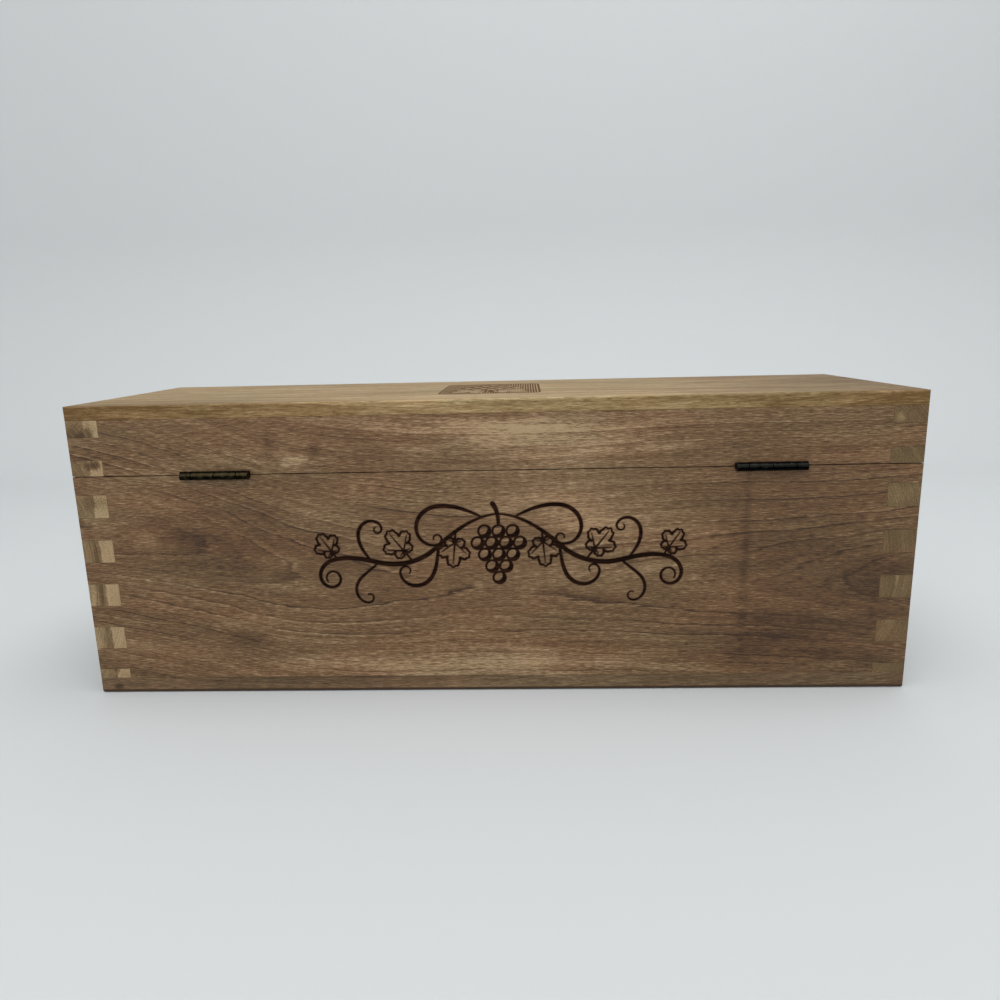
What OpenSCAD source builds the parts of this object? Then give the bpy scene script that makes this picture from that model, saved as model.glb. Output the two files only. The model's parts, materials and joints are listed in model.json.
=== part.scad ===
// Single-bottle wine box: a box-jointed hardwood base and lid on two butt hinges,
// with planks glued over the frames, two bottle cradles inside and a swing hook in front.
// The origin is the centre of the underside. +X runs along the box, +Z is up,
// and the hinge face looks towards -Y.

/* [Box] */
// Length of the box, end to end
box_l = 355.6; // [330:0.1:420]
// Depth of the box, hinge face to front face
box_d = 112; // [110:0.5:150]
// Thickness of the eight frame boards
wall = 13.7; // [12:0.1:14.5]
// Height of the base frame
base_h = 91.75; // [80:0.05:130]
// Height of the lid frame
lid_h = 23.65; // [20:0.05:60]
// Thickness of the bottom board
bottom_t = 7.3; // [4:0.1:12]
// Thickness of the top board
top_t = 6; // [4:0.1:12]
// Gap between the base and the closed lid
seam_gap = 0.4; // [0.2:0.05:0.6]
// Rounding of the upright corners and of the top board's upper edges
edge_r = 0.5; // [0.2:0.1:1.5]
// Rounding of the bottom board's lower edges
foot_r = 1.4; // [0.3:0.1:3]

/* [Box joints] */
// Width of one finger
finger_w = 9.95; // [6:0.05:16]
// Width of the short finger at the top of the frame
first_finger = 7.1; // [4:0.1:16]
// Height of frame lost where the lid was sawn from the base
saw_loss = 5; // [1:0.1:6]
// Thickness of the glue line between two frame boards
glue_line = 0.08; // [0.02:0.01:0.15]

/* [Hinges] */
// Length of each hinge
hinge_l = 28.8; // [24:0.1:50]
// Distance from the end of the box to the middle of a hinge
hinge_inset = 62; // [50:0.5:120]
// Outer diameter of the rolled barrel
barrel_d = 3.8; // [3.6:0.1:5]
// Diameter of the hinge pin
pin_d = 1.9; // [1.6:0.1:2.4]
// Distance of the pin's axis outside the hinge face
pin_out = 1.5; // [1.2:0.1:2]
// Length of pin that stands out of each end of the barrel
pin_end = 0.2; // [0.1:0.1:0.6]
// Thickness of a hinge leaf
leaf_t = 0.9; // [0.7:0.05:1.2]
// Width of the leaf that is let into the rim
leaf_w = 10.5; // [9:0.1:11.5]
// Radial clearance between the pin and the knuckles
pin_clear = 0.05; // [0.02:0.01:0.1]
// Gap between two neighbouring knuckles
knuckle_gap = 0.35; // [0.1:0.05:0.5]
// Clearance round the barrel, to the wood and to the other leaf
barrel_clear = 0.3; // [0.2:0.05:0.6]
// Width of the slit where the roll of a knuckle ends
roll_slit = 0.3; // [0.1:0.05:0.4]

/* [Hinge screws] */
// Distance of each screw from the middle of its hinge
screw_spread = 8; // [6:0.1:9.5]
// Diameter of a screw's shank
screw_d = 2; // [1.6:0.1:2.4]
// Diameter of a screw's countersunk head
screw_head_d = 3.6; // [3:0.1:4]
// Length of a screw
screw_l = 9; // [6:0.5:14]
// Width of the slot in a screw's head
slot_w = 0.5; // [0.3:0.1:0.8]
// Depth of the slot in a screw's head
slot_deep = 0.4; // [0.2:0.1:0.6]

/* [Catch] */
// Distance of the hook's pivot below the seam
pivot_drop = 11; // [9:0.5:16]
// Distance of the stud above the seam
stud_rise = 11; // [9:0.5:14]
// Thickness of the hook
hook_t = 1.2; // [0.8:0.1:1.4]
// Width of the hook's arm beside the eye
arm_w = 5; // [4:0.1:6]
// Width of the hook's arm beside the mouth
arm_tip_w = 4; // [3:0.1:5]
// Diameter of the hook's eye
eye_d = 8; // [7:0.1:10]
// Diameter of the hook's round end
hook_end_d = 9; // [8:0.1:12]
// Length of the thumb tail past the round end
tail_l = 7; // [4:0.5:12]
// Width of the thumb tail
tail_w = 3.2; // [2:0.1:4]
// Diameter of the pivot's and the stud's shanks
shank_d = 2.6; // [2:0.1:3]
// Length of the shanks in the wood
shank_l = 9; // [6:0.5:11]
// Diameter of the pivot's and the stud's domed heads
knob_d = 5.2; // [4.6:0.1:6.5]
// Height of the domed heads
knob_h = 1.6; // [1:0.1:1.8]
// Clearance of the hook to the faces and heads that it passes
hook_clear = 0.3; // [0.2:0.05:0.4]

/* [Cradles] */
// Diameter of the bottle's body
bottle_d = 76; // [70:0.5:78]
// Diameter of the bottle's neck
neck_d = 29; // [26:0.5:34]
// Clearance of the saddles round the bottle
bottle_clear = 1; // [0.5:0.1:2]
// Height of the lying bottle above the bottom board
bottle_lift = 18; // [10:0.5:30]
// Thickness of the two cradles
cradle_t = 14; // [8:0.5:20]
// Distance of the body cradle from the left inner wall
body_cradle_at = 70; // [40:1:110]
// Distance of the neck cradle from the right inner wall
neck_cradle_at = 52; // [30:1:80]
// Height of the body cradle
body_cradle_h = 40; // [34:0.5:52]
// Height of the neck cradle's horns above the neck's axis
neck_horns = 2.3; // [0:0.1:5]
// Rounding of the cradles' upper corners
cradle_r = 5; // [2:0.5:6]
// Clearance between a cradle's end and the frame
cradle_fit = 0.15; // [0.05:0.05:0.5]

/* [Hidden] */
$fn = 64;
// Overlap of a cutting shape past the face that it cuts
past = 1;
// Clearance between a screw or stud and the hole that holds it
thread_fit = 0.03;
// Radius of the blunt tip of a screw
tip_r = 0.2;
// Clearance of a hinge leaf in its mortise
mortise_fit = 0.1;
// Heights of the joints between the layers
base_top = bottom_t + base_h;
seam = base_top + seam_gap / 2;
lid_bottom = base_top + seam_gap;
frame_top = lid_bottom + lid_h;
box_h = frame_top + top_t;
// Faces and hinge places
hinge_face = -box_d / 2;
front_face = box_d / 2;
hinge_x = box_l / 2 - hinge_inset;
pin_y = hinge_face - pin_out;
barrel_r = barrel_d / 2;
knuckle = hinge_l / 6;
leaf_start = barrel_r + barrel_clear;
leaf_end = pin_out + leaf_w;
screw_y = (leaf_start + leaf_end) / 2;
inner_l = box_l - 2 * wall;
inner_d = box_d - 2 * wall;
// The hook lies between the front face and the heads
hook_back = front_face + hook_clear;
knob_base = hook_back + hook_t + hook_clear;
pivot_z = seam - pivot_drop;
stud_z = seam + stud_rise;
reach = pivot_drop + stud_rise;
mouth_r = shank_d / 2 + hook_clear;
// The bottle lies on its side in the middle of the box
bottle_z = bottom_t + bottle_lift + bottle_d / 2;
saddle_r = bottle_d / 2 + bottle_clear;
neck_r = neck_d / 2 + bottle_clear;
body_cradle_x = -inner_l / 2 + body_cradle_at;
neck_cradle_x = inner_l / 2 - neck_cradle_at;
// Colours of the woods and the metal
walnut = "#6f5643";
sapwood = "#9a8464";
plank = "#8d744f";
bronze = "#3b3328";
brass = "#6d5a35";

// Heights taken by the side boards' fingers between two levels of the frame.
// The fingers were cut before the lid was sawn off, so the base's pattern has moved up.
function finger_spans(low, high, lost) = [
    for (k = [0 : ceil((box_h + lost) / finger_w)])
        let (
            upper = frame_top + lost - (k == 0 ? 0 : first_finger + (2 * k - 1) * finger_w),
            lower = frame_top + lost - first_finger - 2 * k * finger_w,
            top = min(upper, high),
            bottom = max(lower, low)
        )
        if (top - bottom > glue_line) [bottom, top]
];
base_spans = finger_spans(bottom_t, base_top, saw_loss);
lid_spans = finger_spans(lid_bottom, frame_top, 0);

// Rectangle with four small round corners of two radii, the lower two and the upper two
module eased_rect(w, h, low_r, high_r) {
    difference() {
        translate([-w / 2, 0]) square([w, h]);
        for (side = [-1, 1]) {
            translate([side * (w / 2 - low_r), low_r]) corner(low_r, side, -1);
            translate([side * (w / 2 - high_r), h - high_r]) corner(high_r, side, 1);
        }
    }
}

// What a round corner takes off a square one
module corner(r, side_x, side_y) {
    difference() {
        translate([side_x > 0 ? 0 : -r - past, side_y > 0 ? 0 : -r - past]) square(r + past);
        circle(r);
    }
}

// The whole box's outline between two levels, with eased upright corners
module outline(low, high) {
    translate([0, hinge_face, low])
        linear_extrude(high - low)
            eased_rect(box_l, box_d, edge_r, edge_r);
}

// Board of the back or the front of a frame, with the sockets of the side boards' fingers
module long_board(side, low, high, spans) {
    intersection() {
        outline(low, high);
        difference() {
            translate([-box_l / 2, side * (box_d - wall) / 2 - wall / 2, low])
                cube([box_l, wall, high - low]);
            for (end = [-1, 1], span = spans)
                translate([
                    end * (box_l - wall) / 2 - wall / 2 - glue_line - past * (end < 0 ? 1 : 0),
                    side * (box_d - wall) / 2 - wall / 2 - past,
                    span[0] - glue_line
                ])
                    cube([wall + 2 * glue_line + past, wall + 2 * past, span[1] - span[0] + 2 * glue_line]);
        }
    }
}

// Board of the left or the right of a frame, with its fingers
module side_board(end, low, high, spans) {
    intersection() {
        outline(low, high);
        translate([end * (box_l - wall) / 2 - wall / 2, 0, 0])
            union() {
                translate([0, -inner_d / 2 + glue_line, low])
                    cube([wall, inner_d - 2 * glue_line, high - low]);
                for (span = spans)
                    translate([0, -box_d / 2, span[0]])
                        cube([wall, box_d, span[1] - span[0]]);
            }
    }
}

// Plank over a whole frame, with its lower and upper edges eased
module plank_board(low, thick, low_r, high_r) {
    intersection() {
        outline(low, low + thick);
        translate([0, box_d / 2 + past, low])
            rotate([90, 0, 0])
                linear_extrude(box_d + 2 * past)
                    eased_rect(box_l, thick, low_r, high_r);
        translate([-box_l / 2 - past, 0, low])
            rotate([90, 0, 90])
                linear_extrude(box_l + 2 * past)
                    eased_rect(box_d, thick, low_r, high_r);
    }
}

// Places one hinge's pieces, whose own origin is the middle of the pin
module at_hinge(end) {
    translate([end * hinge_x, pin_y, seam]) children();
}

// Places the lid's half of a hinge, which is the base's half turned over
module turned_over() {
    rotate([0, 180, 0]) children();
}

// Places a pair of screws on one leaf, heads upwards
module at_screws() {
    for (side = [-1, 1])
        translate([side * screw_spread, screw_y, -seam_gap / 2]) children();
}

// Screw's solid shape, wider all round by grow, with its flat countersunk face at the origin
module screw_shape(grow) {
    head_h = (screw_head_d - screw_d) / 2;
    tip_h = screw_d;
    translate([0, 0, -head_h])
        cylinder(h = head_h, r1 = screw_d / 2 + grow, r2 = screw_head_d / 2 + grow);
    translate([0, 0, -screw_l + tip_h])
        cylinder(h = screw_l - tip_h - head_h, r = screw_d / 2 + grow);
    translate([0, 0, -screw_l])
        cylinder(h = tip_h, r1 = tip_r + grow, r2 = screw_d / 2 + grow);
}

// Screw with a slot in its head
module screw() {
    difference() {
        screw_shape(0);
        translate([-screw_head_d, -slot_w / 2, -slot_deep])
            cube([2 * screw_head_d, slot_w, slot_deep + past]);
    }
}

// What a screw takes out of a leaf and a rim, open past the countersunk face
module screw_hole() {
    screw_shape(thread_fit);
    cylinder(h = past, r = screw_head_d / 2 + thread_fit);
}

// Leaf with one short and one long rolled knuckle
module hinge_leaf() {
    leaf_top = -seam_gap / 2;
    spans = [
        [-3 * knuckle, -2 * knuckle - knuckle_gap / 2],
        [knuckle_gap / 2, 2 * knuckle - knuckle_gap / 2]
    ];
    difference() {
        union() {
            translate([-hinge_l / 2, leaf_start, leaf_top - leaf_t])
                cube([hinge_l, leaf_end - leaf_start, leaf_t]);
            for (span = spans) {
                translate([span[0], 0, 0])
                    rotate([0, 90, 0])
                        cylinder(h = span[1] - span[0], r = barrel_r);
                translate([span[0], pin_d / 2 + pin_clear, leaf_top - leaf_t])
                    cube([span[1] - span[0], leaf_start - pin_d / 2, leaf_t]);
            }
        }
        translate([-hinge_l / 2 - past, 0, 0])
            rotate([0, 90, 0])
                cylinder(h = hinge_l + 2 * past, r = pin_d / 2 + pin_clear);
        translate([-hinge_l / 2 - past, 0, leaf_top])
            cube([hinge_l + 2 * past, barrel_d, roll_slit]);
        at_screws() screw_hole();
    }
}

// Pin with slightly coned ends
module hinge_pin() {
    length = hinge_l + 2 * pin_end;
    translate([-length / 2, 0, 0])
        rotate([0, 90, 0])
            union() {
                translate([0, 0, pin_end])
                    cylinder(h = length - 2 * pin_end, r = pin_d / 2);
                cylinder(h = pin_end, r1 = pin_d / 2 - pin_end / 2, r2 = pin_d / 2);
                translate([0, 0, length - pin_end])
                    cylinder(h = pin_end, r1 = pin_d / 2, r2 = pin_d / 2 - pin_end / 2);
            }
}

// What one leaf and the barrel take out of a rim: mortise, cove for the barrel, screw holes
module hinge_recess() {
    translate([-hinge_l / 2 - mortise_fit, 0, -seam_gap / 2 - leaf_t])
        cube([hinge_l + 2 * mortise_fit, leaf_end + mortise_fit, leaf_t + past]);
    translate([-hinge_l / 2 - pin_end - mortise_fit, 0, 0])
        rotate([0, 90, 0])
            cylinder(h = hinge_l + 2 * (pin_end + mortise_fit), r = leaf_start);
    at_screws() screw_hole();
}

// Round-headed pin of the catch: shank in the wood, shoulder and domed head
module catch_pin(z) {
    dome_r = (knob_d * knob_d / 4 + knob_h * knob_h) / (2 * knob_h);
    translate([0, front_face, z])
        rotate([-90, 0, 0])
            union() {
                translate([0, 0, -shank_l])
                    cylinder(h = shank_l + knob_base - front_face, r = shank_d / 2);
                intersection() {
                    translate([0, 0, knob_base - front_face + knob_h - dome_r])
                        sphere(r = dome_r);
                    translate([0, 0, knob_base - front_face])
                        cylinder(h = knob_h + past, r = knob_d / 2);
                }
            }
}

// Hole that holds a catch pin in a front board
module catch_hole(z) {
    translate([0, front_face + past, z])
        rotate([90, 0, 0])
            cylinder(h = shank_l + past, r = shank_d / 2 + thread_fit);
}

// Cradle board between the front and the back, with a saddle cut for the bottle
module cradle(x, height, cut_r, cut_z) {
    translate([x - cradle_t / 2, 0, bottom_t])
        rotate([90, 0, 90])
            linear_extrude(cradle_t)
                difference() {
                    eased_rect(inner_d - 2 * cradle_fit, height, edge_r, cradle_r);
                    translate([0, cut_z - bottom_t]) circle(cut_r, $fn = 128);
                }
}

// Outline of the hook hanging from its eye, with its mouth open to the -X side
module hook_outline() {
    difference() {
        union() {
            circle(d = eye_d);
            hull() {
                translate([0, -eye_d / 4]) circle(d = arm_w);
                translate([0, -reach]) circle(d = arm_tip_w);
            }
            translate([0, -reach]) circle(d = hook_end_d);
            hull() {
                translate([0, -reach - hook_end_d / 4]) circle(d = tail_w);
                translate([tail_l / 2, -reach - hook_end_d / 2 - tail_l]) circle(d = tail_w);
            }
        }
        circle(r = shank_d / 2 + pin_clear);
        translate([0, -reach]) circle(r = mouth_r);
        intersection() {
            difference() {
                circle(r = reach + mouth_r, $fn = 128);
                circle(r = reach - mouth_r, $fn = 128);
            }
            translate([-reach, -2 * reach]) square([reach, 2 * reach]);
        }
    }
}

// Frame of the base
module base_back_board() {
    color(walnut)
        difference() {
            long_board(-1, bottom_t, base_top, base_spans);
            for (end = [-1, 1]) at_hinge(end) hinge_recess();
        }
}
module base_front_board() {
    color(walnut)
        difference() {
            long_board(1, bottom_t, base_top, base_spans);
            catch_hole(pivot_z);
        }
}
module base_left_side() {
    color(sapwood) side_board(-1, bottom_t, base_top, base_spans);
}
module base_right_side() {
    color(sapwood) side_board(1, bottom_t, base_top, base_spans);
}
module bottom_board() {
    color(plank) plank_board(0, bottom_t, foot_r, edge_r / 2);
}

// Cradles for a lying bottle
module body_cradle() {
    color(walnut) cradle(body_cradle_x, body_cradle_h, saddle_r, bottle_z);
}
module neck_cradle() {
    color(walnut)
        cradle(neck_cradle_x, bottle_z - bottom_t + neck_horns, neck_r, bottle_z);
}

// Frame of the lid
module lid_back_rail() {
    color(walnut)
        difference() {
            long_board(-1, lid_bottom, frame_top, lid_spans);
            for (end = [-1, 1]) at_hinge(end) turned_over() hinge_recess();
        }
}
module lid_front_rail() {
    color(walnut)
        difference() {
            long_board(1, lid_bottom, frame_top, lid_spans);
            catch_hole(stud_z);
        }
}
module lid_left_rail() {
    color(sapwood) side_board(-1, lid_bottom, frame_top, lid_spans);
}
module lid_right_rail() {
    color(sapwood) side_board(1, lid_bottom, frame_top, lid_spans);
}
module top_board() {
    color(plank) plank_board(frame_top, top_t, edge_r / 2, edge_r);
}

// Hinges
module left_hinge_base_leaf() {
    color(bronze) at_hinge(-1) hinge_leaf();
}
module right_hinge_base_leaf() {
    color(bronze) at_hinge(1) hinge_leaf();
}
module left_hinge_lid_leaf() {
    color(bronze) at_hinge(-1) turned_over() hinge_leaf();
}
module right_hinge_lid_leaf() {
    color(bronze) at_hinge(1) turned_over() hinge_leaf();
}
module left_hinge_pin() {
    color(brass) at_hinge(-1) hinge_pin();
}
module right_hinge_pin() {
    color(brass) at_hinge(1) hinge_pin();
}
module base_hinge_screws() {
    color(brass)
        for (end = [-1, 1]) at_hinge(end) at_screws() screw();
}
module lid_hinge_screws() {
    color(brass)
        for (end = [-1, 1]) at_hinge(end) turned_over() at_screws() screw();
}

// Swing hook that joins the lid to the base
module catch_pivot_screw() {
    color(brass) catch_pin(pivot_z);
}
module catch_stud() {
    color(brass) catch_pin(stud_z);
}
module catch_hook() {
    color(bronze)
        translate([0, hook_back + hook_t, pivot_z])
            rotate([90, 0, 0])
                linear_extrude(hook_t)
                    hook_outline();
}

base_back_board();
base_front_board();
base_left_side();
base_right_side();
bottom_board();
body_cradle();
neck_cradle();
left_hinge_base_leaf();
right_hinge_base_leaf();
left_hinge_pin();
right_hinge_pin();
base_hinge_screws();
catch_pivot_screw();
lid_back_rail();
lid_front_rail();
lid_left_rail();
lid_right_rail();
top_board();
left_hinge_lid_leaf();
right_hinge_lid_leaf();
lid_hinge_screws();
catch_stud();
catch_hook();
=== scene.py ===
import json
import math

import bmesh
import bpy
import numpy as np
from mathutils import Matrix, Vector


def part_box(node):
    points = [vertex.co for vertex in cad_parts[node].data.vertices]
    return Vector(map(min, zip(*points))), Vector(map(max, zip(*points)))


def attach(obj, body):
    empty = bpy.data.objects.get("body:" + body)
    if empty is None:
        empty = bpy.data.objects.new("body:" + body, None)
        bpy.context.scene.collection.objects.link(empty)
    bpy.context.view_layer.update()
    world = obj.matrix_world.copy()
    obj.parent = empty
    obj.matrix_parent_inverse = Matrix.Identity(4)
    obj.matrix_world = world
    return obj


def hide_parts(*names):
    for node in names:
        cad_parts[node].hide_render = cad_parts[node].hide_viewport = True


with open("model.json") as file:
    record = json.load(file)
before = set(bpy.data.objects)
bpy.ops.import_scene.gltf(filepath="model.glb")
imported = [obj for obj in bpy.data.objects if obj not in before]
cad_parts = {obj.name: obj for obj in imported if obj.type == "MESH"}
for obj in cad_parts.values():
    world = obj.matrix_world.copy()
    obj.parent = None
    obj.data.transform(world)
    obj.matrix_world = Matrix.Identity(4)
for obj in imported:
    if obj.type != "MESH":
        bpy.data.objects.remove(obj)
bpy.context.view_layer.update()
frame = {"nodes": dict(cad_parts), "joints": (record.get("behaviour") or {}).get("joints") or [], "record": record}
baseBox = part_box("base_back_board")
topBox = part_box("top_board")
mm = 0.001
weld = 0.001 * mm
print("frame loaded")


# colour given in eight-bit screen values, turned into the linear one that shaders take
def screenColour(red, green, blue):
    def toLinear(value):
        part = value / 255
        return part / 12.92 if part <= 0.04045 else ((part + 0.055) / 1.055) ** 2.4

    return (toLinear(red), toLinear(green), toLinear(blue), 1.0)


# thin wrapper that keeps a material's node graph short to write
class Graph:
    def __init__(self, name):
        self.material = bpy.data.materials.new(name)
        self.material.use_nodes = True
        self.tree = self.material.node_tree
        self.tree.nodes.clear()
        self.shader = self.tree.nodes.new("ShaderNodeBsdfPrincipled")
        self.output = self.tree.nodes.new("ShaderNodeOutputMaterial")
        self.tree.links.new(self.shader.outputs[0], self.output.inputs["Surface"])

    def node(self, kind, **settings):
        made = self.tree.nodes.new("ShaderNode" + kind)
        for key, value in settings.items():
            setattr(made, key, value)
        return made

    # a socket is linked, and a number or colour is set
    def feed(self, socket, value):
        if isinstance(value, bpy.types.NodeSocket):
            self.tree.links.new(value, socket)
        else:
            socket.default_value = value

    def math(self, operation, first, second=0.0, third=0.0):
        made = self.node("Math", operation=operation)
        for socket, value in zip(made.inputs, (first, second, third)):
            self.feed(socket, value)
        return made.outputs[0]

    # first + second * weight
    def addWeighted(self, first, second, weight):
        return self.math("MULTIPLY_ADD", second, weight, first)

    # first + (noise - 0.5) * weight, so that the noise sways it both ways
    def sway(self, first, noise, weight):
        return self.addWeighted(first, self.math("SUBTRACT", noise, 0.5), weight)

    def vector(self, operation, first, second=(0, 0, 0)):
        made = self.node("VectorMath", operation=operation)
        self.feed(made.inputs[0], first)
        self.feed(made.inputs[1], second)
        return made.outputs["Value" if operation == "LENGTH" else "Vector"]

    def split(self, vector):
        made = self.node("SeparateXYZ")
        self.feed(made.inputs[0], vector)
        return made.outputs

    def noise(self, vector, detail=2.0, rough=0.5, scale=1.0):
        made = self.node("TexNoise")
        self.feed(made.inputs["Vector"], vector)
        made.inputs["Scale"].default_value = scale
        made.inputs["Detail"].default_value = detail
        made.inputs["Roughness"].default_value = rough
        return made.outputs

    # smooth step from one number to another while the value goes from low to high
    def rangeOf(self, value, low, high, newLow=0.0, newHigh=1.0):
        made = self.node("MapRange", interpolation_type="SMOOTHSTEP")
        limits = {"From Min": low, "From Max": high, "To Min": newLow, "To Max": newHigh}
        for key, number in limits.items():
            made.inputs[key].default_value = number
        self.feed(made.inputs["Value"], value)
        return made.outputs["Result"]

    def ramp(self, value, stops):
        made = self.node("ValToRGB")
        band = made.color_ramp.elements
        while len(band) < len(stops):
            band.new(0.5)
        for element, (place, colour) in zip(band, stops):
            element.position = place
            element.color = colour
        self.feed(made.inputs[0], value)
        return made.outputs["Color"]

    def mix(self, share, first, second, blend="MIX"):
        made = self.node("Mix", data_type="RGBA", blend_type=blend)
        self.feed(made.inputs["Factor"], share)
        self.feed(made.inputs[6], first)
        self.feed(made.inputs[7], second)
        return made.outputs[2]

    def curve(self, value, points):
        made = self.node("FloatCurve")
        line = made.mapping.curves[0].points
        line[0].location = points[0]
        line[1].location = points[-1]
        for place in points[1:-1]:
            line.new(*place)
        made.mapping.update()
        self.feed(made.inputs["Value"], value)
        return made.outputs[0]

    # relief of the surface from a height whose 0 to 1 stands for a distance in mm
    def relief(self, height, strength, distance):
        made = self.node("Bump")
        made.inputs["Strength"].default_value = strength
        made.inputs["Distance"].default_value = distance * mm
        self.feed(made.inputs["Height"], height)
        self.feed(self.shader.inputs["Normal"], made.outputs[0])


# turns object axes into grain axes: along the grain, across the face, into the board
grainAxes = {
    "long": ((1, 0, 0), (0, 0, 1), (0, -1, 0)),
    "plank": ((1, 0, 0), (0, 1, 0), (0, 0, 1)),
    "side": ((0, 1, 0), (0, 0, 1), (1, 0, 0)),
}

# noises drawn out along the grain: length along it and width across it in mm, detail, roughness
grainNoises = {
    "ripple": (26.0, 5.0, 3.0, 0.55),
    "fibre": (22.0, 0.9, 4.0, 0.68),
    "fine": (4.0, 0.36, 3.0, 0.7),
    "pore": (3.4, 0.3, 1.0, 0.5),
    "ringFade": (60.0, 14.0, 1.0, 0.5),
    "hue": (60.0, 16.0, 2.0, 0.5),
}

# size in mm of the streaks that bend with the rings: along the grain, from ring to ring, across
streakSize = (60.0, 0.75, 16.0)

# darkness from the start of a ring, through its early wood, to the dark late wood at its end
ringProfile = ((0.0, 0.35), (0.05, 0.0), (0.18, 0.24), (0.6, 0.26), (0.88, 0.4), (0.95, 1.0), (1.0, 0.35))

# tones at which the five colours of a wood's band stand
bandPlaces = (0.0, 0.27, 0.5, 0.73, 1.0)

# lines burnt into the wood: "burn" on a mesh grows from 0 at "reach" mm outside a line's edge
deepBurn = {
    "reach": 1.2,
    "dark": screenColour(17, 8, 5),
    "brown": screenColour(44, 25, 14),
    "scorch": (0.55, 0.45, 0.36, 1),
    "gloss": 0.05,
    "groove": 0.3,
    "slope": 0.5,
}
lightBurn = dict(
    deepBurn,
    reach=0.7,
    dark=screenColour(78, 56, 35),
    brown=screenColour(108, 82, 53),
    scorch=(0.72, 0.64, 0.55, 1),
    groove=0.2,
)


# a board's places in grain axes, in mm, and the noises that follow its grain
class Grain:
    def __init__(self, g, look):
        toGrain = g.node("Mapping")
        toGrain.inputs["Scale"].default_value = (1 / mm, 1 / mm, 1 / mm)
        toGrain.inputs["Rotation"].default_value = Matrix(grainAxes[look["grain"]]).to_euler("XYZ")
        toGrain.inputs["Location"].default_value = look["shift"]
        g.feed(toGrain.inputs["Vector"], g.node("TexCoord").outputs["Object"])
        self.g = g
        self.place = toGrain.outputs[0]
        self.along, self.across, self.deep = g.split(self.place)
        self.ripple = self.noise(*grainNoises["ripple"])["Fac"]
        self.fibre = self.noise(*grainNoises["fibre"])["Fac"]
        self.fine = self.noise(*grainNoises["fine"])["Fac"]

    def noise(self, length, width, detail=2.0, rough=0.5):
        drawnOut = self.g.vector("MULTIPLY", self.place, (1 / length, 1 / width, 1 / width))
        return self.g.noise(drawnOut, detail, rough)


# Distance of a place to the board's heart line. Its depth below the face and its height follow
# two curves along the board, so that a flat cut shows nested arches and an end shows arcs.
# The distance is the root of the sum of squares, swayed by slow noise, ripples and fibres.
def heartDistance(g, grain, look):
    wander = g.split(grain.noise(look["wanderLength"], look["wanderWidth"])["Color"])
    place = g.math("MULTIPLY_ADD", grain.along, 0.5 / look["boardHalf"], 0.5)
    heartDeep = g.math("MULTIPLY", g.curve(place, look["heartDepth"]), 100.0)
    heartHigh = g.math("MULTIPLY_ADD", g.curve(place, look["heartHeight"]), 200.0, -50.0)
    up = g.sway(g.math("SUBTRACT", grain.across, heartHigh), wander[0], look["wander"])
    inward = g.sway(g.math("ADD", grain.deep, heartDeep), wander[1], look["wander"])
    squares = g.math("ADD", g.math("POWER", up, 2.0), g.math("POWER", inward, 2.0))
    distance = g.sway(g.math("SQRT", squares), grain.ripple, look["ripple"])
    return g.sway(distance, grain.fibre, look["feather"])


# Growth rings of uneven width and strength round the heart line. Returns how far through its
# ring a place is, how dark the ring is there, and a tone that is the same all over one ring.
def growthRings(g, grain, radius, look):
    pace = g.noise(g.math("MULTIPLY", radius, 0.11), 1.0)["Fac"]
    count = g.math("MULTIPLY", radius, 1 / look["ringWidth"])
    count = g.addWeighted(count, pace, look["ringUneven"])
    phase = g.math("FRACT", count)
    whichRing = g.node("TexWhiteNoise", noise_dimensions="1D")
    g.feed(whichRing.inputs["W"], g.math("FLOOR", count))
    strength = g.math("MULTIPLY_ADD", whichRing.outputs["Value"], 0.75, 0.25)
    dark = g.math("MULTIPLY", g.curve(phase, ringProfile), strength)
    fading = g.split(grain.noise(*grainNoises["ringFade"])["Color"])[1]
    dark = g.math("MULTIPLY", dark, g.rangeOf(fading, 0.35, 0.62, 0.35, 1.0))
    return phase, dark, g.split(whichRing.outputs["Color"])[1]


# Tone of solid wood, 0 dark and 1 pale: rings, streaks, fibres and pores added up, and then the
# board's clouds and layers, some of them painted shade and light. Returns the pores as well,
# which are dents too.
def woodTone(g, grain, look):
    radius = heartDistance(g, grain, look)
    phase, ringDark, ringTone = growthRings(g, grain, radius, look)
    bent = g.node("CombineXYZ")
    for socket, value, size in zip(bent.inputs, (grain.along, radius, grain.across), streakSize):
        g.feed(socket, g.math("MULTIPLY", value, 1 / size))
    streak = g.noise(bent.outputs[0], 4.0, 0.66)["Fac"]
    broad = grain.noise(75.0, look["broadWidth"])["Fac"]
    pore = g.rangeOf(grain.noise(*grainNoises["pore"])["Fac"], 0.6, 0.72)
    pore = g.math("MULTIPLY", pore, g.rangeOf(phase, 0.9, 0.2, 0.35, 1.0))  # fewer in late wood

    tone = g.addWeighted(0.5 + look["lift"], ringDark, -look["ringContrast"])
    tone = g.sway(tone, ringTone, look["ringTone"])
    tone = g.sway(tone, streak, look["streakContrast"])
    tone = g.sway(tone, broad, look["broadContrast"])
    tone = g.sway(tone, grain.fibre, look["fibreContrast"])
    tone = g.sway(tone, grain.fine, look["fineContrast"])
    tone = g.addWeighted(tone, pore, -look["poreContrast"])
    for centre, size, strength in look["clouds"]:
        offset = g.vector("SUBTRACT", grain.place, centre)
        distance = g.vector("LENGTH", g.vector("DIVIDE", offset, size))
        cloud = g.rangeOf(g.sway(distance, grain.ripple, 1.2), 1.0, 0.0)
        tone = g.addWeighted(tone, cloud, strength)
    waved = g.sway(grain.deep, grain.ripple, look["layerWave"])
    for first, full, strength in look["layers"]:
        tone = g.addWeighted(tone, g.rangeOf(waved, first, full), strength)
    return tone, pore


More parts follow.
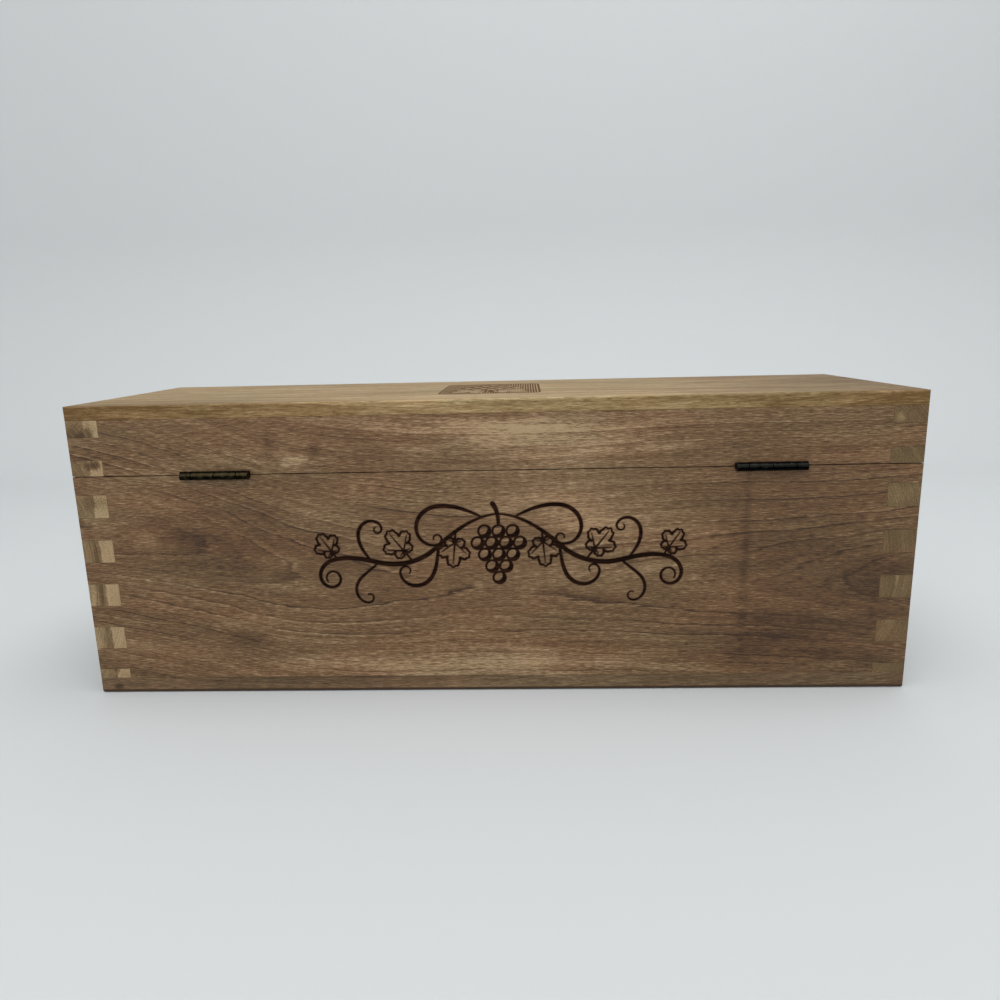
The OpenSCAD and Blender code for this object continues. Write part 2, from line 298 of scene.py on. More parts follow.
# wood scorched beside burnt lines and charred in them, where the mesh's "burn" says
def burnWood(g, grain, look, colour, roughness):
    burn = look["burnt"]
    reach = burn["reach"]
    burnt = g.sway(g.node("Attribute", attribute_name="burn").outputs["Fac"], grain.fine, 0.3)
    scorch = g.rangeOf(burnt, reach * 0.5, reach * 1.05)
    char = g.rangeOf(burnt, reach - 0.12, reach + 0.06)
    colour = g.mix(scorch, colour, g.mix(1.0, colour, burn["scorch"], "MULTIPLY"))
    charred = g.mix(g.rangeOf(grain.fibre, 0.35, 0.7), burn["dark"], burn["brown"])
    gloss = g.rangeOf(char, 0.0, 1.0, look["gloss"], burn["gloss"])
    g.feed(g.shader.inputs["Specular IOR Level"], gloss)
    return g.mix(char, colour, charred), g.addWeighted(roughness, char, 0.3)


# solid wood: a colour band turns the tone into wood, tinted in broad warmer and cooler zones
def woodMaterial(name, look):
    g = Graph(name)
    grain = Grain(g, look)
    tone, pore = woodTone(g, grain, look)
    colour = g.ramp(tone, [(place, screenColour(*shade)) for place, shade in zip(bandPlaces, look["band"])])
    hue = g.rangeOf(g.split(grain.noise(*grainNoises["hue"])["Color"])[2], 0.35, 0.65)
    colour = g.mix(1.0, colour, g.mix(hue, look["coolTint"], look["warmTint"]), "MULTIPLY")
    roughness = g.rangeOf(grain.fibre, 0.3, 0.7, look["rough"] + 0.05, look["rough"] - 0.05)
    g.shader.inputs["Specular IOR Level"].default_value = look["gloss"]
    if look["burnt"]:
        colour, roughness = burnWood(g, grain, look, colour, roughness)
    g.feed(g.shader.inputs["Base Color"], colour)
    g.feed(g.shader.inputs["Roughness"], roughness)
    height = g.addWeighted(g.math("MULTIPLY", grain.fine, 0.5), pore, -1.0)
    g.relief(g.addWeighted(height, grain.fibre, 0.4), look["bump"], 0.08)
    return g.material


walnutLook = {
    "grain": "long",
    "shift": (0, 0, -56),  # the hinge face is at depth 0
    "boardHalf": 178,
    # place along the board from 0 to 1, and the heart line's depth below the face in 100 mm
    "heartDepth": (
        (0.0, 0.3), (0.1, 0.318), (0.3, 0.366), (0.5, 0.392), (0.71, 0.366), (0.93, 0.338), (1.0, 0.31)
    ),
    # the same places, and the heart line's height in 200 mm, counted from 50 mm below the board
    "heartHeight": ((0.0, 0.66), (0.12, 0.61), (0.3, 0.515), (0.7, 0.5), (1.0, 0.5)),
    "wander": 7.0,
    "wanderLength": 130.0,
    "wanderWidth": 42.0,
    "ripple": 1.5,
    "feather": 0.6,
    "ringWidth": 2.9,
    "ringUneven": 1.4,
    "ringContrast": 0.62,
    "ringTone": 0.14,
    "streakContrast": 0.6,
    "broadContrast": 0.42,
    "broadWidth": 13.0,
    "fibreContrast": 0.62,
    "fineContrast": 1.9,
    "poreContrast": 0.5,
    "lift": 0.1,
    # centre, size and strength of lighter and darker patches, in grain axes
    "clouds": (
        ((-130, 73, 0), (17, 6, 12), -0.2),
        ((-149, 71, 0), (11, 7, 12), 0.2),
        ((-115, 68, 0), (60, 26, 12), -0.18),
        ((-83, 108, 0), (48, 12, 12), 0.04),
        ((29, 84, 0), (75, 17, 14), 0.2),
        ((15, 112, 0), (85, 14, 14), 0.46),
        ((-10, 13, 0), (110, 13, 14), 0.34),
        ((-92, 61, 0), (20, 7, 12), 0.22),
        ((-110, 25, 0), (16, 6, 12), -0.26),
        ((132, 24, 0), (60, 18, 14), -0.26),
        ((164, 48, 0), (30, 20, 12), -0.08),
        ((107, 60, 0), (3.5, 60, 14), -0.2),
        ((140, 50, 0), (90, 60, 16), -0.2),
        ((60, 60, 0), (60, 20, 14), 0.16),
        ((-82, 104, 0), (10, 5, 12), 0.34),
        ((-92, 112, 0), (4.5, 9, 12), -0.2),
        ((-73, 110, 0), (4, 7, 12), -0.2),
        ((-84, 15, 0), (30, 5, 12), 0.16),
        ((165, 14, 0), (24, 7, 12), -0.24),
    ),
    "band": ((54, 35, 18), (84, 60, 35), (104, 78, 50), (128, 102, 73), (168, 144, 111)),
    "coolTint": (0.97, 0.99, 0.96, 1),
    "warmTint": (1.035, 0.965, 0.93, 1),
    # where a lighter or darker layer starts and is full, in mm into the board, and its strength
    "layers": (),
    "layerWave": 0.0,
    "burnt": None,
    "bump": 0.35,
    "rough": 0.55,
    "gloss": 0.35,
}

# pale boards seen end on between the fingers, paler still towards the inside of the box
sideLook = dict(
    walnutLook,
    grain="side",
    shift=(0, 0, 178),
    boardHalf=56,
    heartDepth=((0.0, 0.8), (1.0, 0.76)),
    heartHeight=((0.0, 0.54), (1.0, 0.5)),
    wander=3.0,
    ripple=0.8,
    feather=0.3,
    ringWidth=2.7,
    ringContrast=0.5,
    fibreContrast=0.5,
    streakContrast=0.7,
    layers=((7.6, 8.4, 0.42),),
    layerWave=2.5,
    clouds=(
        ((-56, 115, 3), (40, 10, 7), -0.4),
        ((-56, 117, 10), (40, 8, 2.8), -0.62),
        ((-56, 117, 7), (40, 4, 4), -0.7),
        ((-56, 104.5, 10), (40, 3, 4.5), -0.9),
        ((-56, 50, 6), (40, 36, 1.7), -0.34),
        ((-56, 36, 1.2), (40, 42, 4.2), 0.34),
        ((-56, 88, 6), (40, 8, 12), -0.28),
        ((-56, 12, 8), (40, 3, 2.0), -0.5),
    ),
    band=((68, 50, 26), (93, 73, 45), (112, 92, 62), (137, 116, 83), (166, 145, 111)),
)

planks = {
    "top": dict(
        walnutLook,
        grain="plank",
        shift=(0, 0, -129),
        heartDepth=((0.0, 0.3), (0.5, 0.45), (1.0, 0.35)),
        heartHeight=((0.0, 0.3), (1.0, 0.26)),
        ringContrast=0.22,
        streakContrast=0.85,
        broadContrast=1.15,
        broadWidth=7.0,
        fibreContrast=0.95,
        fineContrast=1.7,
        # painted shade, partly the grain's own darker look: the plank's edges, from 1 mm below its top face, are
        # darker for the less light that reaches them from overhead
        layers=((-0.5, -1.0, -0.22),),
        # painted shade and light: the plank's ends darker and the middle of its front edge lighter, as the light
        # is brighter at the centre
        clouds=(
            ((-160, -56, 0), (90, 40, 14), -0.3),
            ((20, -56, 0), (110, 40, 14), 0.22),
            ((190, 0, 0), (150, 120, 30), -0.5),
        ),
        band=((97, 73, 38), (122, 98, 61), (140, 116, 78), (158, 135, 96), (184, 162, 123)),
        gloss=0.25,
    ),
    "bottom": dict(
        walnutLook,
        grain="plank",
        shift=(0, 0, 0),
        heartDepth=((0.0, 0.3), (0.5, 0.45), (1.0, 0.35)),
        heartHeight=((0.0, 0.55), (1.0, 0.5)),
        clouds=(
            ((-170, -56, 3), (3, 6, 2), -0.6),
            ((-10, -56, 0), (110, 40, 14), 0.25),
        ),
        # painted shadow: the lowest 1.9 mm of the plank, round its lower edge and on its underside, goes dark in
        # place of the contact shadow under the box
        layers=((1.9, 0.9, -1.9),),
        band=((62, 44, 25), (80, 61, 38), (94, 74, 50), (110, 88, 62), (136, 113, 84)),
    ),
}


# a berry's radius, the shift of its shade and the step to the next row, as shares of the pitch
berryShares = {"radius": 0.435, "shade": 0.17, "row": 0.86}

# shares of a leaf's size, but for the sharpness, the number of teeth and the widths in mm
leafShape = {
    "lobeDepth": 0.48,
    "lobeSharpness": 0.7,
    "tipStretch": 0.2,
    "toothHeight": 0.04,
    "toothCount": 22,
    "baseToMiddle": 0.42,
    "veinLength": 0.82,
    "veinWidths": (0.7, 0.3),
    "rimPoints": 160,
}


# A drawing holds points, as places across and up a face in mm, the distance of each point to
# the edge of the nearest line, below 0 inside the line, and the same for the solid shapes.
class Drawing:
    def __init__(self, across, up):
        self.across = across
        self.up = up
        self.field = np.full(across.shape, 9.0)
        self.shapes = np.full(across.shape, 9.0)

    # Line through the given points with a width at each. The distance of a point to each short
    # stretch is its distance to that segment, less half the width there.
    def line(self, points, widths, margin=2.5):
        low = points.min(axis=0) - margin
        high = points.max(axis=0) + margin
        near = (self.across > low[0]) & (self.across < high[0])
        near &= (self.up > low[1]) & (self.up < high[1])
        places = np.stack((self.across[near], self.up[near]), axis=1)
        best = self.field[near]
        for first, last, firstWidth, lastWidth in zip(points[:-1], points[1:], widths[:-1], widths[1:]):
            along = last - first
            fromFirst = places - first
            share = np.clip(fromFirst @ along / (along @ along), 0, 1)
            distance = np.hypot(*(fromFirst - share[:, None] * along).T)
            best = np.minimum(best, distance - (firstWidth + (lastWidth - firstWidth) * share) / 2)
        self.field[near] = best

    # one berry: a ring with a crescent of shade on its lower side
    def berry(self, x, y, radius, ringWidth, shadeShift):
        distance = np.hypot(self.across - x, self.up - y)
        lit = np.hypot(self.across - x + shadeShift, self.up - y - shadeShift)
        self.field = np.minimum(self.field, np.abs(distance - radius) - ringWidth / 2)
        self.field = np.minimum(self.field, np.maximum(distance - radius, radius * 0.93 - lit))
        self.shapes = np.minimum(self.shapes, distance - radius)

    # berries in rows, each row centred under the one above
    def bunch(self, x, y, look):
        pitch = look["pitch"]
        for row, count in enumerate(look["rows"]):
            for place in range(count):
                berryX = x + (place - (count - 1) / 2) * pitch
                berryY = y - row * pitch * berryShares["row"]
                radius, shade = pitch * berryShares["radius"], pitch * berryShares["shade"]
                self.berry(berryX, berryY, radius, look["ring"], shade)

    # Leaf with five lobes. Round its middle the radius is size times a wave with five crests,
    # longer towards the tip, with a small fast wave for the teeth.
    def leaf(self, base, axis, size, rimWidth, shape=leafShape):
        def radiusAt(turn):
            crests = np.abs(np.cos(2.5 * turn)) ** shape["lobeSharpness"]
            lobes = 1 - shape["lobeDepth"] + shape["lobeDepth"] * crests
            teeth = 1 + shape["toothHeight"] * np.cos(shape["toothCount"] * turn)
            return size * lobes * (1 + shape["tipStretch"] * np.cos(turn)) * teeth

        middle = base + shape["baseToMiddle"] * size * np.array((math.cos(axis), math.sin(axis)))
        turns = np.linspace(-math.pi, math.pi, shape["rimPoints"])
        radius = radiusAt(turns)
        rim = middle + np.stack((radius * np.cos(turns + axis), radius * np.sin(turns + axis)), axis=1)
        self.line(rim, rimWidth * (0.65 + 0.35 * np.abs(np.sin(2.5 * turns))))  # thinner at the tips
        for vein in (-2, -1, 0, 1, 2):
            turn = vein * math.tau / 5
            length = shape["veinLength"] * radiusAt(np.array(turn))
            tip = middle + length * np.array((math.cos(turn + axis), math.sin(turn + axis)))
            self.line(np.linspace(base, tip, 9), np.linspace(*shape["veinWidths"], 9))
        offsetX, offsetY = self.across - middle[0], self.up - middle[1]
        beyond = np.hypot(offsetX, offsetY) - radiusAt(np.arctan2(offsetY, offsetX) - axis)
        self.shapes = np.minimum(self.shapes, beyond)

    # panel with round corners, filled with upright hatch lines that stop short of the shapes
    def hatchedPanel(self, look):
        outX = np.abs(self.across) - look["half"][0] + look["corner"]
        outY = np.abs(self.up) - look["half"][1] + look["corner"]
        panel = np.hypot(np.maximum(outX, 0), np.maximum(outY, 0)) - look["corner"]
        hatch = np.abs(self.across / look["pitch"] % 1 - 0.5) * look["pitch"] - look["line"] / 2
        hatch = np.maximum(np.maximum(hatch, panel + look["margin"]), look["margin"] - self.shapes)
        self.field = np.minimum(self.field, np.minimum(hatch, np.abs(panel) - look["rim"] / 2))


pathStep = 0.5  # mm between two points of a drawn path


# Path in short equal steps. Its pieces are (length, first bend, last bend): the bend, in turn
# per mm, changes evenly along a piece, and the heading is the sum of the bends so far.
def bentPath(start, heading, pieces):
    stretches = [np.linspace(first, last, int(length / pathStep)) for length, first, last in pieces]
    headings = heading + np.concatenate(([0], np.cumsum(np.concatenate(stretches)) * pathStep))
    between = (headings[1:] + headings[:-1]) / 2
    moves = np.stack((np.cos(between), np.sin(between)), axis=1) * pathStep
    return np.vstack((start, start + np.cumsum(moves, axis=0))), headings


# width that swells from thin at both ends to thick in between
def swell(count, thin, thick, ease):
    return thin + (thick - thin) * np.sin(np.pi * np.linspace(0, 1, count) ** ease)


vineLook = {
    "node": "base_back_board",
    "piece": "backBoardBurnt",
    "burn": deepBurn,
    "centre": (3.0, 66.0),
    "half": (83.0, 28.0),
    "pitch": 0.4,
    "stem": {
        "start": (0, 14.5),
        "heading": -0.05,
        "pieces": ((32, -0.042, 0.0), (26, 0.04, 0.034), (19, 0.0, -0.05), (36, -0.08, -0.38)),
    },
    "stemWidth": (0.6, 2.0),  # at its ends and in between
    # place along the stem, turn away from it, pieces, thickest width
    "curls": (
        (7, 0.80, ((20, -0.01, -0.05), (27, -0.085, -0.15), (10, -0.3, -0.7)), 1.7),
        (30, -0.78, ((13, 0.0, 0.06), (19, 0.1, 0.17), (9, 0.3, 0.62)), 1.6),
        (61, 0.62, ((12, 0.02, 0.09), (15, 0.12, 0.23), (8, 0.38, 0.8)), 1.4),
        (58, -1.00, ((10, 0.03, -0.03), (14, -0.1, -0.2), (8, -0.3, -0.7)), 1.2),
    ),
    # place along the stem, turn away from it, stalk length, leaf size
    "leaves": ((20, -0.84, 5, 6.6), (43, 1.2, 6, 6.6), (76, 1.15, 4, 5.6)),
    "leafRim": 0.9,
    "bunch": {"rows": (3, 4, 3, 2, 1), "pitch": 6.0, "ring": 0.76},
    "bunchTop": (0, 7.0),
    "stalk": ((9, 0.02, 0.12),),
}


# vine in two mirrored halves with a bunch of grapes in the middle
def drawVine(drawing, look):
    start = np.array(look["stem"]["start"])
    stem, headings = bentPath(start, look["stem"]["heading"], look["stem"]["pieces"])
    for side in ((1, 1), (-1, 1)):
        drawing.line(stem * side, swell(len(stem), *look["stemWidth"], 0.9))
        for place, turn, pieces, thick in look["curls"]:
            fork = int(place / pathStep)
            curl = bentPath(stem[fork], headings[fork] + turn, pieces)[0]
            drawing.line(curl * side, swell(len(curl), 0.45, thick, 0.7))
        for place, turn, stalkLength, size in look["leaves"]:
            fork = int(place / pathStep)
            straight = ((stalkLength, 0, 0),)
            stalk, stalkHeadings = bentPath(stem[fork], headings[fork] + turn, straight)
            axis = stalkHeadings[-1] if side[0] > 0 else math.pi - stalkHeadings[-1]
            drawing.line(stalk * side, np.linspace(0.6, 1.0, len(stalk)))
            drawing.leaf(stalk[-1] * side, axis, size, look["leafRim"])
    drawing.bunch(*look["bunchTop"], look["bunch"])
    stalk = bentPath(np.array(look["bunchTop"]) + (0, 3.4), 1.6, look["stalk"])[0]
    drawing.line(stalk, np.linspace(1.3, 2.0, len(stalk)))


emblemLook = {
    "node": "top_board",
    "piece": "topBoardBurnt",
    "burn": lightBurn,
    "centre": (0.8, 1.0),
    "half": (26.0, 33.0),
    "pitch": 0.36,
    # place of a leaf's base, its axis and size
    "leaves": (((-3.0, 12.0), 2.5, 10.5), ((3.5, 12.0), 0.55, 10.0)),
    "leafRim": 1.0,
    "panel": {"half": (22.5, 29.4), "corner": 4.0, "rim": 0.9, "pitch": 1.2, "line": 0.62, "margin": 0.7},
    "bunch": {"rows": (3, 4, 3, 2, 1), "pitch": 7.6, "ring": 1.0},
    "bunchTop": (0, 4.5),
    "stalk": ((9, -0.01, 0.02), (9, 0.03, 0.16)),
}


# bunch of grapes under two leaves, left bare in a hatched panel
def drawEmblem(drawing, look):
    for base, axis, size in look["leaves"]:
        drawing.leaf(np.array(base), axis, size, look["leafRim"])
    drawing.bunch(*look["bunchTop"], look["bunch"])
    stalk = bentPath(np.array(look["bunchTop"]) + (0, 4), 1.62, look["stalk"])[0]
    drawing.line(stalk, np.linspace(1.4, 2.4, len(stalk)))
    drawing.hatchedPanel(look["panel"])


# fine square grid over the drawing's rectangle on a face, as a mesh of its own
def makeGrid(look, right, up, outward, level):
    counts = [int(2 * half / look["pitch"]) + 1 for half in look["half"]]
    columns, rows = np.meshgrid(*[np.linspace(-h, h, n) for h, n in zip(look["half"], counts)])
    across, upwards = columns.ravel() + look["centre"][0], rows.ravel() + look["centre"][1]
    points = np.outer(across * mm, right) + np.outer(upwards * mm, up) + np.array(outward) * level
    index = np.arange(columns.size).reshape(columns.shape)
    corners = (index[:-1, :-1], index[:-1, 1:], index[1:, 1:], index[1:, :-1])
    faces = np.stack([corner.ravel() for corner in corners], axis=1)
    grid = bpy.data.meshes.new("grid")
    grid.from_pydata(points.tolist(), [], faces.tolist())
    return grid


# Copy of a CAD board with the grid in one face. The face is taken out, and triangles join its
# outline to the grid's rim, so that the board stays closed.
def boardWithGrid(look, grid, outward, level):
    board = bmesh.new()
    board.from_mesh(frame["nodes"][look["node"]].data)
    bmesh.ops.remove_doubles(board, verts=board.verts, dist=weld)
    onFace = [
        face for face in board.faces
        if face.normal.dot(outward) > 0.999 and abs(face.verts[0].co.dot(outward) - level) < weld
    ]
    bmesh.ops.delete(board, geom=onFace, context="FACES")
    board.from_mesh(grid)
    rims = [edge for edge in board.edges if edge.is_boundary]
    bmesh.ops.triangle_fill(board, use_beauty=True, edges=rims, normal=outward)
    for face in board.faces:
        face.smooth = len(face.verts) == 4
    mesh = bpy.data.meshes.new(look["piece"])
    board.to_mesh(mesh)
    board.free()
    bpy.data.meshes.remove(grid)
    return mesh


# Board with a drawing burnt into one face, level metres out from the origin. Each point of the
# grid goes inwards by the groove's depth times the root of how far inside a line it is.
def burnBoard(look, right, up, level, draw, material):
    outward = right.cross(up)
    mesh = boardWithGrid(look, makeGrid(look, right, up, outward, level), outward, level)
    points = np.empty(len(mesh.vertices) * 3)
    mesh.vertices.foreach_get("co", points)
    points = points.reshape(-1, 3)
    across = points @ np.array(right) / mm - look["centre"][0]
    upwards = points @ np.array(up) / mm - look["centre"][1]
    inside = np.abs(points @ np.array(outward) - level) < weld
    inside &= (np.abs(across) <= look["half"][0]) & (np.abs(upwards) <= look["half"][1])
    drawing = Drawing(across[inside], upwards[inside])
    draw(drawing, look)
    burn = look["burn"]
    sunk = np.clip(-drawing.field / burn["slope"], 0, 1) ** 0.5 * burn["groove"] * mm
    points[inside] -= sunk[:, None] * np.array(outward)
    mesh.vertices.foreach_set("co", points.ravel())
    burnt = np.zeros(len(points))
    burnt[inside] = np.clip(burn["reach"] - drawing.field, 0, 3)
    mesh.attributes.new("burn", "FLOAT", "POINT").data.foreach_set("value", burnt)
    mesh.update()
    mesh.materials.append(material)
    piece = bpy.data.objects.new(look["piece"], mesh)
    bpy.context.collection.objects.link(piece)
    return piece


# Hinges and catch hardware: colour of the patina and of the bare metal, which the painted
# highlight uses too, roughness, how much is worn, and how strong the painted highlight, partly
# real wear, is where a knuckle stands out
metalLooks = {
    "hinge_bronze": {
        "colour": (9, 8, 4), "wearAndHighlight": (92, 82, 56), "rough": 0.24, "wear": 0.2, "rubAndHighlight": 0.33
    },
    "darkHinge": {
        "colour": (3, 3, 3), "wearAndHighlight": (84, 84, 76), "rough": 0.24, "wear": 0.05, "rubAndHighlight": 0.19
    },
    "pin_steel": {
        "colour": (24, 21, 17), "wearAndHighlight": (60, 54, 44), "rough": 0.4, "wear": 0.3, "rubAndHighlight": 0
    },
    "hinge_screw_brass": {
        "colour": (120, 96, 56), "wearAndHighlight": (170, 140, 88), "rough": 0.35, "wear": 0.5, "rubAndHighlight": 0
    },
    "catch_pin_brass": {
        "colour": (92, 74, 46), "wearAndHighlight": (160, 130, 80), "rough": 0.33, "wear": 0.4, "rubAndHighlight": 0
    },
    "hook_bronze": {
        "colour": (64, 56, 42), "wearAndHighlight": (130, 106, 66), "rough": 0.36, "wear": 0.3, "rubAndHighlight": 0
    },
}

lidHinge = next(joint for joint in frame["joints"] if joint["name"] == "lid_hinge")
hingePinPlace = [place / mm for place in lidHinge["pos_m"]]
highlightReach = (1.66, 1.9)  # mm out from the pin where the patina starts to give way to the painted highlight, and is gone


# Dark antique metal: a cloudy patina over the worn metal below. Where the knuckles stand out
# furthest from their pin, backwards and a little upwards, the bare colour shows as a painted
# highlight, partly real wear.
def metalMaterial(name, look):
    g = Graph(name)
    point = g.vector("MULTIPLY", g.node("TexCoord").outputs["Object"], (1 / mm, 1 / mm, 1 / mm))
    patina = g.noise(point, 4.0, 0.6, 0.6)["Fac"]
    specks = g.noise(point, 2.0, 0.5, 4.0)["Fac"]
    wearAndHighlight = g.math("MULTIPLY", g.rangeOf(patina, 0.5, 0.75), look["wear"])
    # painted highlight, partly wear: the bare metal colour in a band along each knuckle, tilted a little upwards
    if look["rubAndHighlight"]:
        fromPin = g.split(g.vector("SUBTRACT", point, hingePinPlace))
        standOut = g.addWeighted(g.math("MULTIPLY", fromPin[1], -0.94), fromPin[2], 0.34)
        standOut = g.sway(standOut, patina, 0.4)
        wearAndHighlight = g.addWeighted(wearAndHighlight, g.rangeOf(standOut, *highlightReach), look["rubAndHighlight"])
    colour = g.mix(wearAndHighlight, screenColour(*look["colour"]), screenColour(*look["wearAndHighlight"]))
    roughness = g.rangeOf(specks, 0.3, 0.7, look["rough"] - 0.08, look["rough"] + 0.12)
    g.feed(g.shader.inputs["Base Color"], colour)
    g.feed(g.shader.inputs["Roughness"], roughness)
    g.shader.inputs["Metallic"].default_value = 1.0
    g.relief(specks, 0.25, 0.03)
    return g.material


# one material on each of the named CAD nodes
def dress(nodeNames, material):
    for nodeName in nodeNames:
        mesh = frame["nodes"][nodeName].data
        mesh.materials.clear()
        mesh.materials.append(material)


walnut = woodMaterial("walnut boards", walnutLook)
dress(("base_back_board", "base_front_board", "lid_back_rail", "lid_front_rail"), walnut)
dress(("base_left_side", "lid_left_rail"), woodMaterial("pale left boards", sideLook))
rightLook = dict(
    sideLook,
    shift=(40, 0, -178),
    ringContrast=0.35,
    layers=(),
    clouds=(
        ((-16, 53, -7), (40, 7, 1.2), 0.4),
        ((-16, 34, -9), (40, 4.5, 3), 0.3),
        ((-16, 118, -11), (40, 4, 3), 0.4),
        ((-16, 85, -7), (60, 10, 16), 0.1),
    ),
    band=((60, 44, 23), (80, 62, 37), (97, 77, 48), (113, 92, 61), (140, 118, 84)),
)
dress(("base_right_side", "lid_right_rail"), woodMaterial("tan right boards", rightLook))
dress(("top_board",), woodMaterial("pale top plank", planks["top"]))

# seen from outside, the hinge face has +X to its right and +Z up, and the top has -X and -Y
burntWalnut = woodMaterial("burnt walnut board", dict(walnutLook, burnt=vineLook["burn"]))
hingeFace = (Vector((1, 0, 0)), Vector((0, 0, 1)), -baseBox[0][1])
backBoard = burnBoard(vineLook, *hingeFace, drawVine, burntWalnut)
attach(backBoard, "base")
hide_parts(vineLook["node"])
burntPlank = woodMaterial("burnt top plank", dict(planks["top"], burnt=emblemLook["burn"]))
topFace = (Vector((-1, 0, 0)), Vector((0, -1, 0)), topBox[1][2])
topBoard = burnBoard(emblemLook, *topFace, drawEmblem, burntPlank)
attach(topBoard, "lid")
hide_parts(emblemLook["node"])
print("ornaments burnt in")

dress(("bottom_board",), woodMaterial("bottom plank", planks["bottom"]))
cradleLook = dict(walnutLook, grain="side", shift=(30, 0, 0), boardHalf=56, clouds=())
dress(("body_cradle", "neck_cradle"), woodMaterial("cradle boards", cradleLook))
print("wood finished")

for row in frame["record"]["subparts"]:
    slotName = row["material_slot"]
    if slotName in metalLooks:
        metalName = slotName.replace("_", " ")
        metal = bpy.data.materials.get(metalName) or metalMaterial(metalName, metalLooks[slotName])
        dress((row["node"],), metal)
darkerHinge = metalMaterial("darker hinge", metalLooks["darkHinge"])
dress(("right_hinge_base_leaf", "right_hinge_lid_leaf"), darkerHinge)
print("metal finished")


stageLook = {
    "floorColour": (0.59, 0.613, 0.622, 1),
    "backdropColour": (0.6, 0.628, 0.642, 1),
    "fadeStart": 0.9,
    "fadeEnd": 1.9,
    "width": 9.0,
    "front": -5.0,
    "bendStart": 0.45,
    "bendRadius": 0.3,
    "bendPoints": 24,
    "wallHeight": 2.5,
}


# Lets the camera, and what is glossy or clear, see the plain backdrop colour in place of a lit
# shader, wholly or by a share from 0 to 1. The light on the object stays the lit shader's.
def showBackdrop(tree, lit, plainKind, output, share=None):
    path = tree.nodes.new("ShaderNodeLightPath")
    seen = path.outputs["Is Camera Ray"]
    steps = [("MAXIMUM", path.outputs["Is Glossy Ray"]), ("MAXIMUM", path.outputs["Is Transmission Ray"])]
    if share is not None:
        steps.append(("MULTIPLY", share))
    for operation, other in steps:
        made = tree.nodes.new("ShaderNodeMath")
        made.operation = operation
        tree.links.new(seen, made.inputs[0])
        tree.links.new(other, made.inputs[1])
        seen = made.outputs[0]
    plain = tree.nodes.new(plainKind)
    plain.inputs["Color"].default_value = stageLook["backdropColour"]
    blend = tree.nodes.new("ShaderNodeMixShader")
    tree.links.new(seen, blend.inputs[0])
    tree.links.new(lit.outputs[0], blend.inputs[1])
    tree.links.new(plain.outputs[0], blend.inputs[2])
    tree.links.new(blend.outputs[0], output.inputs["Surface"])


# floor that sweeps up into a wall through a quarter circle, and fades into the backdrop
def makeStage(look):
    arc = np.linspace(0, math.pi / 2, look["bendPoints"])
    depth = np.concatenate(([look["front"]], look["bendStart"] + look["bendRadius"] * np.sin(arc)))
    height = np.concatenate(([0.0], look["bendRadius"] * (1 - np.cos(arc))))
    depth = np.append(depth, depth[-1])
    height = np.append(height, look["wallHeight"])
    rows = len(depth)
    points = np.zeros((rows, 2, 3))
    points[:, 0, 0] = -look["width"] / 2
    points[:, 1, 0] = look["width"] / 2
    points[:, :, 1] = depth[:, None]
    points[:, :, 2] = height[:, None]
    index = np.arange(rows * 2).reshape(rows, 2)
    faces = np.stack((index[:-1, 0], index[:-1, 1], index[1:, 1], index[1:, 0]), axis=-1)
    mesh = bpy.data.meshes.new("studio floor")
    mesh.from_pydata(points.reshape(-1, 3).tolist(), [], faces.tolist())
    mesh.polygons.foreach_set("use_smooth", [True] * len(faces))
    floor = bpy.data.objects.new("studioFloor", mesh)
    bpy.context.collection.objects.link(floor)
    g = Graph("matt paper floor")
    g.shader.inputs["Base Color"].default_value = look["floorColour"]
    g.shader.inputs["Roughness"].default_value = 0.9
    g.shader.inputs["Specular IOR Level"].default_value = 0.1
    away = g.vector("LENGTH", g.node("TexCoord").outputs["Object"])
    fade = g.rangeOf(away, look["fadeStart"], look["fadeEnd"])
    showBackdrop(g.tree, g.shader, "ShaderNodeEmission", g.output, fade)
    mesh.materials.append(g.material)


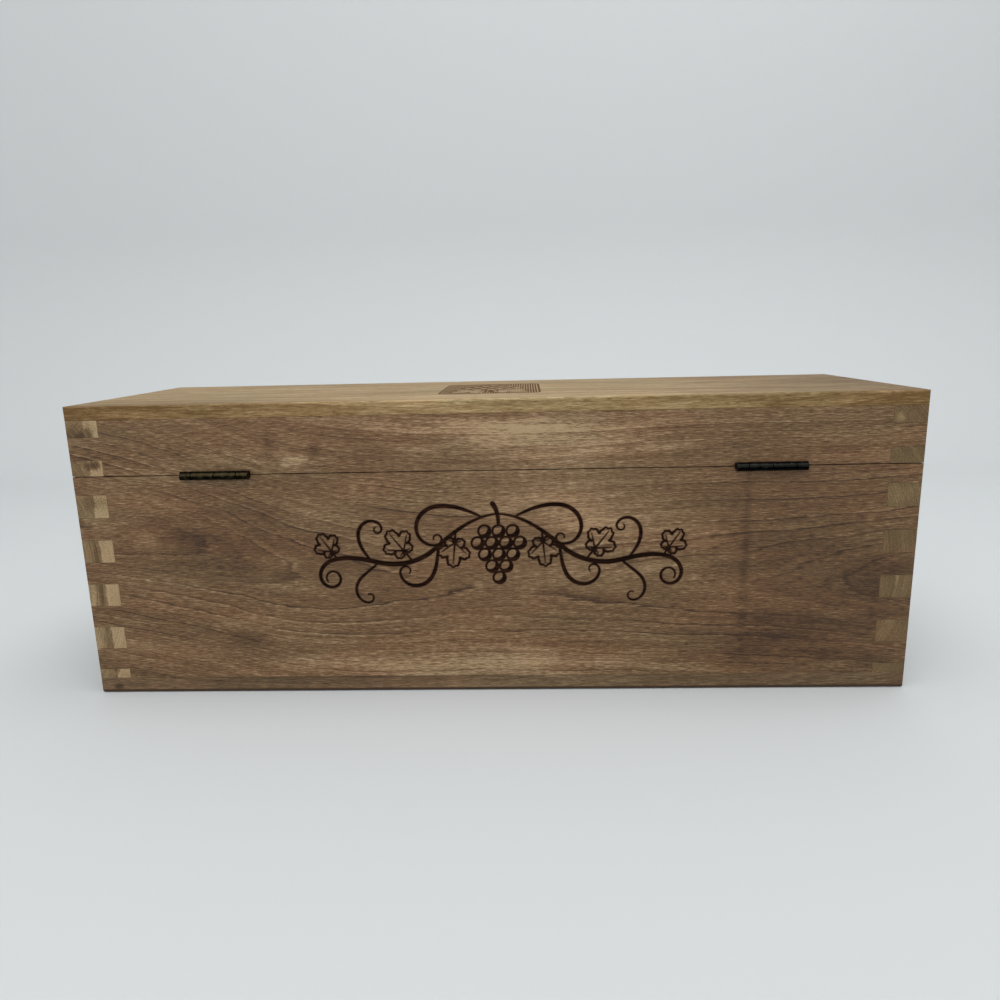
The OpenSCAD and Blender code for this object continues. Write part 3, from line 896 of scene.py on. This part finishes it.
lampLook = {
    "lamps": {
        "overhead": {"place": (0.0, -0.45, 1.5), "size": 1.6, "power": 14.3},
        "front": {"place": (-0.2, -1.6, 0.9), "size": 1.4, "power": 8.0},
        "far": {"place": (0.4, 0.25, 1.15), "size": 0.8, "power": 2.0},
    },
    "target": (0, 0, 0.06),
    "worldColour": (1.0, 1.0, 1.0, 1),
    "worldStrength": 0.55,
}


# square area lamps that look at the box, and a soft even world
def makeLamps(look):
    for name, settings in look["lamps"].items():
        lamp = bpy.data.lights.new(name + "Lamp", "AREA")
        lamp.size = settings["size"]
        lamp.energy = settings["power"]
        holder = bpy.data.objects.new(name + "Lamp", lamp)
        holder.location = settings["place"]
        aim = Vector(look["target"]) - holder.location
        holder.rotation_euler = aim.to_track_quat("-Z", "Y").to_euler()
        bpy.context.collection.objects.link(holder)
    world = bpy.data.worlds.new("soft room")
    bpy.context.scene.world = world
    world.use_nodes = True
    sky = world.node_tree.nodes["Background"]
    sky.inputs["Color"].default_value = look["worldColour"]
    sky.inputs["Strength"].default_value = look["worldStrength"]
    showBackdrop(world.node_tree, sky, "ShaderNodeBackground", world.node_tree.nodes["World Output"])


cameraLook = {
    "place": (15.32 * mm, -371.23 * mm, 155.92 * mm),
    "yaw": 0.0361,
    "pitch": -0.2166,
    "roll": 0.0232,
    "focalPixels": 768.5,
    "pictureWidth": 1000,
    "filmWidth": 36.0,
}


# camera at the hinge side, turned from a straight look along +Y
def makeCamera(look):
    yaw = Matrix.Rotation(look["yaw"], 3, "Z")
    pitch = Matrix.Rotation(look["pitch"], 3, "X")
    roll = Matrix.Rotation(look["roll"], 3, "Y")
    turn = yaw @ pitch @ roll
    lens = bpy.data.cameras.new("camera")
    lens.sensor_width = look["filmWidth"]
    lens.lens = look["focalPixels"] * look["filmWidth"] / look["pictureWidth"]
    lens.clip_start = 0.01
    camera = bpy.data.objects.new("camera", lens)
    right, forward, up = turn.col
    facing = Matrix((right, up, -forward)).transposed()  # a camera looks along its own -Z
    camera.matrix_world = Matrix.LocRotScale(Vector(look["place"]), facing, None)
    bpy.context.collection.objects.link(camera)
    bpy.context.scene.camera = camera


makeStage(stageLook)
makeLamps(lampLook)
makeCamera(cameraLook)
bpy.context.scene.view_settings.view_transform = "Standard"
print("studio ready")
